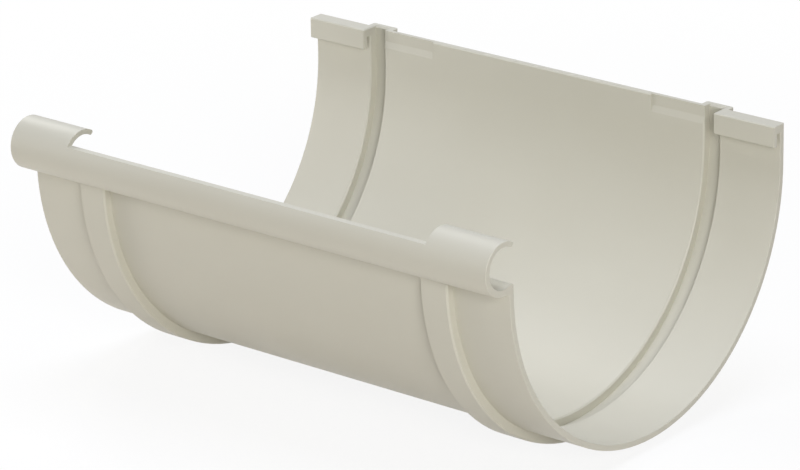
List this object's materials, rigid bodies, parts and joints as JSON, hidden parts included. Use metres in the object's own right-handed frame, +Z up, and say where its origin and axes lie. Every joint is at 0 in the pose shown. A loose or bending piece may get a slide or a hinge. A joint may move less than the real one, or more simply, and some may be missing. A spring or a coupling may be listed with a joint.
{
  "type": "gutter union",
  "caption": "Half-round gutter joint in one moulded piece: open trough with raised seal bands, grooves inside them, a snap bead along the front edge and hooks over the rear edge.",
  "frame": {"origin": "on the axis of the half-round trough, half way along it", "axes": "+X along the gutter, +Y towards the wall side with the rear hooks, +Z up; the trough is open upwards"},
  "size_m": [0.1756, 0.1433, 0.0837],
  "materials": {
    "pvc": "light warm grey moulded PVC, satin to matt"
  },
  "bodies": {
    "root": {"gutter_union": "pvc"}
  },
  "joints": []
}
